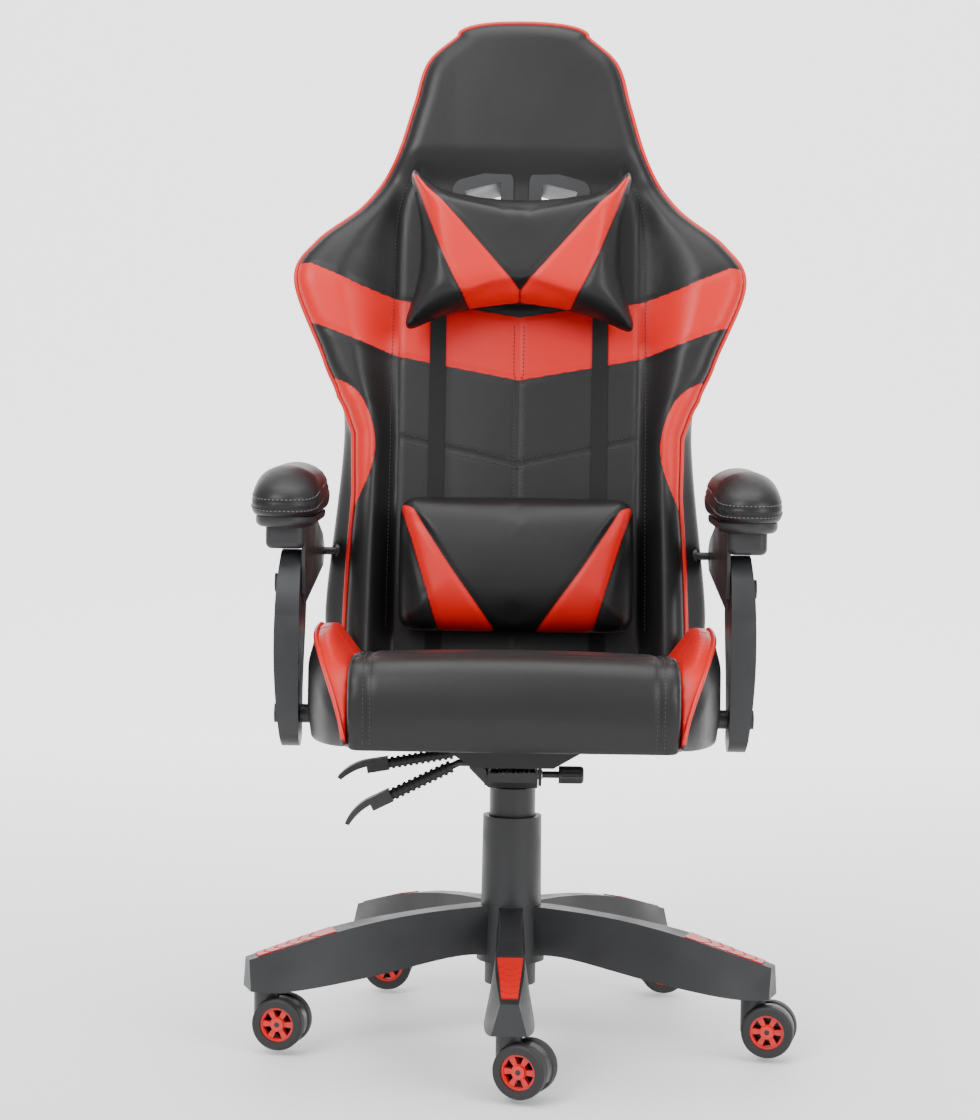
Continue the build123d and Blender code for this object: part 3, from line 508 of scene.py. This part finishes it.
def back_front(x, z):
    """Depth of the front surface, towards the sitter, before its edge is rounded."""
    floor = BACK_FLOOR + 13 * smooth_step(614, 668, z)
    swell = (BACK_CREST - BACK_FLOOR) * (1 - smooth_step(480, 640, z))
    edge = front_edge(z)
    climb = smooth_step(150, 150 + 0.62 * np.maximum(edge - 150, 20), np.abs(x))
    crown = 3 * (1 - np.clip(np.abs(x) / 85, 0, 1) ** 2)
    return floor + swell * climb + crown * (1 - 0.6 * smooth_step(560, 612, z))


def back_map(x, s, z):
    """From the flat outline's x and z, and s from -1 at the front to 1 at the rear, to the padded shape."""
    flat = half_width(z)
    narrow = np.where(flat > 1, front_edge(z) / np.maximum(flat, 1), 1)
    blend = smooth_step(-1, 0.1, s)
    new_x = x * (narrow + (1 - narrow) * blend)
    edge = distance_to(BACK_OUTLINE, x, z)
    round_over = 15 * (1 - np.sqrt(1 - np.clip(1 - edge / 22, 0, 1) ** 2))
    front = -back_front(new_x, z) + round_over
    rear = BACK_REAR - 20 * smooth_step(560, 830, z) - 0.8 * round_over
    rear = rear - 4 + 4 * (1 - np.clip(np.abs(x) / 230, 0, 1) ** 2)
    depth = front + (rear - front) * (s + 1) / 2
    return new_x, depth, z


def band_top(x):
    return np.interp(np.abs(x), [0, 45, 152, 205, 262], [447, 455, 468, 484, 508])


def band_bottom(x):
    return np.interp(np.abs(x), [0, 152, 205, 262], [367, 396, 412, 434])


CRESCENT_POINTS = [
    (203, 196), (198, 209), (183, 245), (177, 278), (184, 315), (201, 346), (233, 366), (262, 380),
]
CRESCENT = through(CRESCENT_POINTS, 80)


def back_red(x, z, s):
    """Above 0 in the red panels of the back's front."""
    band = np.minimum(band_top(x) - z, z - band_bottom(x))
    inner = np.interp(z, CRESCENT[:, 1], CRESCENT[:, 0], left=400, right=400)
    inside_piping = np.where(z < WAIST, front_edge(z) - np.abs(x), FAR)
    crescent = np.minimum(np.abs(x) - inner, inside_piping)
    return np.where(s < -0.2, np.maximum(band, crescent), NOT_RED)


def chevron(x):
    """Height of the quilted seam that rises from the middle to both wings."""
    return 260 + 0.225 * np.abs(x)


def back_seams():
    """Sewn lines on the front, as polylines in x and z."""
    x = np.linspace(-150, 150, 61)
    seams = [np.column_stack([x, chevron(x)]), np.array([(0, 20), (0, 447)])]
    wide = np.linspace(-258, 258, 121)
    seams += [np.column_stack([wide, band_top(wide)]), np.column_stack([wide, band_bottom(wide)])]
    for side in (-1, 1):
        seams.append(through([(side * 152, 20), (side * 150, 300), (side * 150, 560), (side * 128, 640)], 40))
        seams.append(CRESCENT * (side, 1))
    return seams


# Corners of the strap hole beside the bridge
STRAP_HOLE = [(25, 565), (62, 568), (73, 611), (25, 623)]


def cut_strap_holes(piece):
    for side in (-1, 1):
        verts, faces = prism([(side * x, z) for x, z in STRAP_HOLE], -2 * BACK_HALF_SLAB, 2 * BACK_HALF_SLAB)
        cutter = new_object("cutter", verts, faces)
        turn_faces_out(cutter)
        cut = piece.modifiers.new("cut", "BOOLEAN")
        cut.operation = "DIFFERENCE"
        cut.object = cutter
        cut.solver = "EXACT"
        apply_modifiers(piece)
        bpy.data.objects.remove(cutter)


def back_stitch_rows():
    """Lines just in front of the back, beside its chevron, middle and wing seams."""
    x = np.linspace(-145, 145, 60)
    z = np.linspace(216, 444, 50)
    flat_rows = [np.column_stack([x, chevron(x) + offset]) for offset in (-TWIN_ROW, TWIN_ROW)]
    flat_rows += [np.column_stack([np.full(len(z), offset), z]) for offset in (-TWIN_ROW, TWIN_ROW)]
    for side in (-1, 1):
        wing = through([(side * 152, 50), (side * 150, 300), (side * 150, 560), (side * 130, 630)], 90)
        flat_rows.append(wing + (side * TWIN_ROW, 0))
    return [np.column_stack([row[:, 0], np.full(len(row), -40.0), row[:, 1]]) for row in flat_rows]


def make_back():
    verts, faces = prism(BACK_OUTLINE[::2], -BACK_HALF_SLAB, BACK_HALF_SLAB)
    piece = remeshed("back_upholstery", verts, faces, VOXEL, 2)
    cut_strap_holes(piece)
    flat = points_of(piece)
    x, s, z = flat[:, 0], np.clip(flat[:, 1] / BACK_HALF_SLAB, -1, 1), flat[:, 2]
    new_x, depth, new_z = back_map(x, s, z)
    on_front = s < -0.3
    seam = np.full(x.shape, FAR)
    for line in back_seams():
        every = max(1, len(line) // 40)
        seam = np.minimum(seam, distance_to(line[::every], new_x, z))
    seam = np.where(on_front, seam, FAR)
    depth = depth + 1.5 * np.exp(-((seam / 3.0) ** 2)) * on_front
    set_points(piece, np.column_stack([new_x, depth, new_z]))
    set_attribute(piece, "red", back_red(new_x, z, s))
    set_attribute(piece, "seam", seam)
    sew(piece, "back_stitches", back_stitch_rows(), thread_dark, "back", BACK_MATRIX)
    finish_piece(piece, upholstery, "back", BACK_MATRIX, ["back_cushion"])


def make_back_piping():
    """A cord round the back's front edge, from flank to flank over the top, and a little proud of it."""
    foot, proud = 40, 1.5
    loop = with_mirror(BACK_HALF[BACK_HALF[:, 1] > foot])
    x, depth, z = back_map(loop[:, 0], np.full(len(loop), -0.86), loop[:, 1])
    outwards = proud * np.sign(x) * (np.abs(x) > 20)
    upwards = proud * (z > FLANK[-1][1])
    verts, faces = tube(np.column_stack([x + outwards, depth, z + upwards]), BACK_PIPING_R)
    finish_piece(new_object("back_piping", verts, faces), piping_red, "back", BACK_MATRIX)


# Seat upholstery

SEAT_HALF, SEAT_REAR = 181.0, 172.0
SEAT_UNDERSIDE = 2.0
NOSE = [(-256, -2), (-268, 20), (-271, 50), (-266, 78), (-252, 95), (-228, 103)]
CROSS_SEAMS = (-224, 20)


def seat_profile():
    """The cushion's side view in y and z."""
    top = through([(-228, 103), (-160, 105), (-60, 103), (60, 99), (SEAT_REAR, 95)], 30)
    return np.vstack([[(SEAT_REAR, SEAT_UNDERSIDE), (-150, SEAT_UNDERSIDE)], through(NOSE, 40), top[1:]])


def seat_seams(x, y, z):
    """Distance to the two long seams over the nose and top, and to the two seams across the top."""
    long_seams = [distance_to(np.array([(side * 160, -300), (side * 163, 200)]), x, y) for side in (-1, 1)]
    along = np.minimum(*long_seams) + np.where(z > 12, 0, FAR)
    cross_seams = [np.abs(y - spot) + np.where(z > 60, 0, FAR) for spot in CROSS_SEAMS]
    return np.minimum(along, np.minimum(*cross_seams))


def make_seat_cushion():
    profile = seat_profile()
    rings = [[(x, y, z) for y, z in profile] for x in (-SEAT_HALF - 1, SEAT_HALF + 1)]
    verts, faces = loft(rings)
    piece = remeshed("seat_pad", verts, faces, 4.5, 16)
    x, y, z = points_of(piece).T
    on_top = smooth_step(60, 95, z)
    on_nose = smooth_step(190, 262, -y)
    bow = 1 - np.clip(np.abs(x) / SEAT_HALF, 0, 1) ** 2
    z = z + on_top * (4.5 * bow - 1)
    y = y - on_nose * smooth_step(5, 40, z) * 4 * bow
    seam = seat_seams(x, y, z)
    set_points(piece, groove(np.column_stack([x, y, z]), normals_of(piece), seam, 2.4, 4.2))
    set_attribute(piece, "red", np.full(len(x), NOT_RED))
    set_attribute(piece, "seam", seam)
    nose_and_top = profile[4:48]
    rows = []
    for side in (-1, 1):
        for offset in (-TWIN_ROW, TWIN_ROW):
            rows.append(np.column_stack([np.full(len(nose_and_top), side * 160 + offset), nose_and_top]))
    sew(piece, "seat_stitches", rows, thread_dark, "seat", SEAT_MATRIX)
    finish_piece(piece, upholstery, "seat", SEAT_MATRIX, ["seat_cushion"])


# Along y: how far out a bolster's side and its piped edge are, and how high its top is
BOLSTER_OUTER = through([(-262, 184), (-212, 214), (-110, 235), (0, 239.5), (138, 239.5)], 80)
BOLSTER_EDGE_POINTS = [(-262, 184), (-240, 194), (-205, 207), (-150, 219), (-80, 228), (60, 232), (138, 232)]
BOLSTER_EDGE = through(BOLSTER_EDGE_POINTS, 80)
BOLSTER_TOP = through([(-267, 4), (-245, 46), (-190, 91), (-80, 124), (60, 134), (138, 130)], 80)
BOLSTER_INNER = 182.5


def bolster_outer(y):
    return np.interp(y, BOLSTER_OUTER[:, 0], BOLSTER_OUTER[:, 1])


def bolster_top(y):
    return np.interp(y, BOLSTER_TOP[:, 0], BOLSTER_TOP[:, 1])


def bolster_edge(y):
    return np.interp(y, BOLSTER_EDGE[:, 0], BOLSTER_EDGE[:, 1])


def bolster_ring(y, side):
    """A bolster's section at one y, from its inner foot round its side and top."""
    outer, top, edge = bolster_outer(y), bolster_top(y), bolster_edge(y)
    foot = SEAT_UNDERSIDE
    section = [
        (BOLSTER_INNER, foot),
        (outer - 5, foot),
        (outer, foot + 0.3 * (top - foot)),
        (outer, foot + 0.72 * (top - foot)),
        (edge + 1, top - 3),
        (BOLSTER_INNER + 0.62 * (edge - BOLSTER_INNER), top),
        (BOLSTER_INNER, min(top, 90)),
    ]
    return [(side * x, y, z) for x, z in section]


def make_bolsters():
    nose, seam_y = -262, -20
    for name, side in (("left", 1), ("right", -1)):
        ys = np.linspace(nose, 137, 40)
        verts, faces = loft([bolster_ring(y, side) for y in ys])
        piece = remeshed(f"seat_bolster_{name}", verts, faces, VOXEL, 7)
        p = points_of(piece)
        normal = normals_of(piece)
        x, y, z = np.abs(p[:, 0]), p[:, 1], p[:, 2]
        inside_edge = bolster_edge(y) - x
        red = np.where(normal[:, 2] > -0.35, inside_edge, NOT_RED)
        seam = np.where((z > 12) & (inside_edge > 0), np.abs(y - seam_y), FAR)
        set_points(piece, groove(p, normal, seam, 2.0, 4.0))
        set_attribute(piece, "red", red)
        set_attribute(piece, "seam", seam)
        replaced = ["seat_bolsters"] if side > 0 else []
        finish_piece(piece, upholstery, "seat", SEAT_MATRIX, replaced)
        ys = np.linspace(nose, 132, 90)
        path = np.column_stack([side * (bolster_edge(ys) + 1.5), ys, bolster_top(ys) - 3])
        verts, faces = tube(path, SEAT_PIPING_R)
        rope = new_object(f"seat_piping_{name}", verts, faces)
        finish_piece(rope, piping_red, "seat", SEAT_MATRIX)


# Pillows

FILL_FRAMES = 20
FILL_PRESSURE = 4.0


def inflate(piece, cap):
    """Fills a pillow by cloth simulation, and holds each point within the cap."""
    before = points_of(piece)
    cloth = piece.modifiers.new("cloth", "CLOTH")
    settings = cloth.settings
    settings.use_pressure = True
    settings.uniform_pressure_force = FILL_PRESSURE
    settings.effector_weights.gravity = 0
    settings.tension_stiffness = 30
    settings.compression_stiffness = 30
    settings.bending_stiffness = 1.5
    settings.quality = 6
    cloth.collision_settings.use_collision = False
    scene = bpy.context.scene
    for number in range(1, FILL_FRAMES + 1):
        scene.frame_set(number)
    apply_modifiers(piece)
    scene.frame_set(1)
    move = points_of(piece) - before
    length = np.maximum(np.linalg.norm(move, axis=1), 1e-6)[:, None]
    set_points(piece, before + move * np.minimum(1, cap / length))


def subdivided(piece):
    refine = piece.modifiers.new("refine", "SUBSURF")
    refine.levels = 1
    apply_modifiers(piece)


def head_outline():
    """The bow-tie shape in x and z: hollowed on all four sides, with long softened corners."""
    top = through([(-148, 631), (-98, 607), (0, 595), (98, 607), (148, 631)], 50)
    right = through([(148, 631), (136, 570), (133, 525), (137, 478), (151, 417)], 30)
    bottom = through([(151, 417), (98, 431), (0, 447), (-98, 431), (-151, 417)], 50)
    left = right[::-1] * (-1, 1)
    loop = np.vstack([top[:-1], right[:-1], bottom[:-1], left[:-1]])
    softening_rounds = 6
    for _ in range(softening_rounds):
        loop = (np.roll(loop, 1, 0) + 2 * loop + np.roll(loop, -1, 0)) / 4
    return loop


def pillow_shape(outline, middle, swell, name):
    """A pillow's closed shape: thick in the middle and thin at its sewn edge."""
    half_slab, half_edge, shoulder = 8, 5, 52
    verts, faces = prism(outline, -half_slab, half_slab)
    piece = remeshed(name, verts, faces, 5.0, 1)
    p = points_of(piece)
    loop = np.vstack([outline, outline[:1]])
    edge = distance_to(loop[::2], p[:, 0], p[:, 2])
    grown = (1 - np.clip(1 - edge / shoulder, 0, 1) ** 2.4) ** 0.5
    p[:, 1] = middle + p[:, 1] / half_slab * (half_edge + grown * swell / 2)
    set_points(piece, p)
    return piece


def pillow_red(x, z, inner, outer):
    """Above 0 between an inner and an outer line, each given as x against z."""
    inner_x = np.interp(z, [h for h, _ in inner], [w for _, w in inner])
    outer_x = np.interp(z, [h for h, _ in outer], [w for _, w in outer])
    return np.minimum(np.abs(x) - inner_x, outer_x - np.abs(x))


def filled_pillow(outline, front, rear, clearance, cap, name):
    """A filled pillow between two depths, kept a clearance off the back behind it."""
    edge_and_gaps = 12
    piece = pillow_shape(outline, -(front + rear) / 2, front - rear - edge_and_gaps, name)
    inflate(piece, cap)
    subdivided(piece)
    p = points_of(piece)
    p[:, 1] = np.minimum(p[:, 1], -(BACK_FLOOR + clearance))
    set_points(piece, p)
    return piece


def finish_pillow(piece, red, seams, node):
    """Paints the red panels and the seams' painted shade, and presses the seams, on the pillow's front only,
    and hangs it on the body of its node.
    """
    normal = normals_of(piece)
    front = normal[:, 1] < -0.05
    set_points(piece, groove(points_of(piece), normal, seams, np.where(front, 1.8, 0), 4.0))
    set_attribute(piece, "red", np.where(front, red, NOT_RED))
    set_attribute(piece, "seam", np.where(front, seams, FAR))
    finish_piece(piece, upholstery, node, BACK_MATRIX, [node])


def make_head_pillow():
    front, rear = BACK_FLOOR + 84, BACK_FLOOR + 11
    piece = filled_pillow(head_outline(), front, rear, 7.5, 9, "head_pillow_cover")
    x, _, z = points_of(piece).T
    inner = [(440, 0), (466, 0), (611, 127), (620, 138)]
    outer = [(425, 50), (440, 60), (480, 82), (520, 101), (570, 121), (611, 136), (620, 142)]
    red = pillow_red(x, z, inner, outer)
    seams = np.minimum(np.abs(red) * 0.8, np.where(z < 462, np.abs(x), FAR))
    finish_pillow(piece, red, seams, "head_pillow")


def rounded_rectangle(half_x, low, high, radius, count=10):
    """A rectangle about x = 0 with round corners, anticlockwise from its upper right one."""
    x, top, bottom = half_x - radius, high - radius, low + radius
    spots = []
    for centre_x, centre_z, start in ((x, top, 0), (-x, top, 90), (-x, bottom, 180), (x, bottom, 270)):
        for step in range(count + 1):
            turn = math.radians(start + 90 * step / count)
            spots.append((centre_x + radius * math.cos(turn), centre_z + radius * math.sin(turn)))
    return np.array(spots)


def make_lumbar_pillow():
    front, rear = BACK_FLOOR + 82, BACK_FLOOR + 4
    piece = filled_pillow(rounded_rectangle(144, 47, 212, 20), front, rear, 2.8, 8, "lumbar_pillow_cover")
    x, _, z = points_of(piece).T
    inner = [(25, 10), (122, 80), (167, 110), (195, 127), (206, 146)]
    outer = [(21, 88), (95, 110), (161, 131), (199, 146), (206, 150)]
    red = pillow_red(x, z, inner, outer)
    finish_pillow(piece, red, np.abs(red) * 0.8, "lumbar_pillow")


# Armrests

# Each level of a pad's shape: its height over the pad's base, and how far it is drawn in
PAD_LEVELS = ((0.5, 6), (6, 2), (18, 0), (28, 1), (38, 4), (46, 9), (52, 17), (56, 27), (57.5, 36))
LOWER_SEAM = 7


def pad_seam_rise(from_front):
    """Height of a pad's upper seam over its base: low at the nose, higher along the sides."""
    return 17 + 15 * smooth_step(0, 90, from_front)


def make_arm_pads():
    for name in ("left", "right"):
        low, high = (Vector(corner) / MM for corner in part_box(f"arm_pad_{name}"))
        half_x, centre = (high.x - low.x) / 2, (high.x + low.x) / 2
        outline = rounded_rectangle(half_x - 1.5, low.y + 1.5, high.y - 1.5, half_x - 4, 12)
        middle = outline.mean(0) * (0, 1)
        rings = []
        for rise, inset in PAD_LEVELS:
            scale = np.array([(half_x - inset) / half_x, 1 - inset / 130])
            ring = (outline - middle) * scale + middle
            rings.append([(centre + x, y, low.z + rise) for x, y in ring])
        verts, faces = loft(rings)
        piece = remeshed(f"arm_pad_cover_{name}", verts, faces, 3.5, 8)
        p = points_of(piece)
        nose_dip = 0.30 * (1 - smooth_step(0, 80, p[:, 1] - low.y))
        tail_dip = 0.15 * (1 - smooth_step(0, 50, high.y - p[:, 1]))
        p[:, 2] = low.z + (p[:, 2] - low.z) * (1 - (nose_dip + tail_dip))
        set_points(piece, p)
        height = low.z + pad_seam_rise(p[:, 1] - low.y)
        seam = np.minimum(np.abs(p[:, 2] - height), np.abs(p[:, 2] - height + LOWER_SEAM))
        set_points(piece, groove(p, normals_of(piece), seam, 1.3, 2.8))
        set_attribute(piece, "red", np.full(len(p), NOT_RED))
        set_attribute(piece, "seam", seam)
        loop = np.vstack([outline, outline[:1]])
        seam_z = low.z + pad_seam_rise(loop[:, 1] - low.y)
        rows = []
        for offset in (3, -LOWER_SEAM - 3):
            rows.append(np.column_stack([centre + loop[:, 0], loop[:, 1], seam_z + offset]))
        sew(piece, f"arm_pad_stitches_{name}", rows, thread_light, f"pad_{name}")
        finish_piece(piece, upholstery, f"pad_{name}", None, [f"arm_pad_{name}"])


# Studio


def make_camera():
    data = bpy.data.cameras.new("camera")
    data.sensor_width = 36
    data.lens = 90.5142857
    camera = bpy.data.objects.new("camera", data)
    yaw, pitch, roll = math.radians(0.53), math.radians(-3.66), math.radians(-0.8)
    look = Matrix.Rotation(yaw, 3, "Z") @ Matrix.Rotation(pitch, 3, "X") @ Matrix.Rotation(roll, 3, "Y")
    axes = Matrix((look.col[0], look.col[2], -look.col[1])).transposed()
    eye = (0, -3.3, 0.771)
    camera.matrix_world = Matrix.Translation(eye) @ axes.to_4x4()
    bpy.context.scene.collection.objects.link(camera)
    bpy.context.scene.camera = camera


def area_light(name, spot, target, size, power):
    data = bpy.data.lights.new(name, "AREA")
    data.shape = "RECTANGLE"
    data.size, data.size_y = size
    data.energy = power
    lamp = bpy.data.objects.new(name, data)
    lamp.location = spot
    lamp.rotation_euler = (Vector(target) - Vector(spot)).to_track_quat("-Z", "Y").to_euler()
    bpy.context.scene.collection.objects.link(lamp)


def studio_white():
    """A pale floor that turns into a backdrop behind the chair, with a painted glow that grows brighter
    towards the back.
    """
    material, nodes, links, shader = new_material("studio_white")
    shader.inputs["Base Color"].default_value = (0.9, 0.9, 0.9, 1)
    shader.inputs["Roughness"].default_value = 0.6
    shader.inputs["Emission Color"].default_value = (1, 1, 1, 1)
    coords = nodes.new("ShaderNodeTexCoord")
    split = nodes.new("ShaderNodeSeparateXYZ")
    links.new(coords.outputs["Object"], split.inputs["Vector"])
    # Painted glow, not a lamp: the emission strength rises from none half a metre in front of the chair to
    # 1.5 far behind it
    glow = ranged(nodes, links, split.outputs["Y"], 0.0, 1.5, -0.5, 2.6)
    links.new(glow, shader.inputs["Emission Strength"])
    return material


def make_studio():
    floor_half = 6000
    sweep = through([(-floor_half, 0), (1500, 0), (3000, 90), (4200, 600), (5000, 1900), (5200, 4200)], 120)
    verts = [(x, y, z) for y, z in sweep for x in (-floor_half, floor_half)]
    faces = [(2 * i, 2 * i + 1, 2 * i + 3, 2 * i + 2) for i in range(len(sweep) - 1)]
    floor = new_object("studio_floor", verts, faces)
    floor.data.materials.append(studio_white())
    for polygon in floor.data.polygons:
        polygon.use_smooth = True
    world = bpy.data.worlds.new("studio")
    world.use_nodes = True
    sky = world.node_tree.nodes["Background"]
    sky.inputs["Color"].default_value = (1, 1, 1, 1)
    sky.inputs["Strength"].default_value = 0.85
    bpy.context.scene.world = world
    area_light("key", (-1.6, -2.6, 2.6), (0, 0, 0.7), (1.6, 1.6), 85)
    area_light("fill", (2.2, -2.4, 1.8), (0, 0, 0.6), (1.6, 1.6), 60)
    area_light("top", (0, -0.2, 3.0), (0, 0, 0.4), (2.4, 2.4), 70)


paint_cad_nodes()
make_back()
make_back_piping()
make_seat_cushion()
make_bolsters()
make_head_pillow()
make_lumbar_pillow()
make_arm_pads()
make_camera()
make_studio()
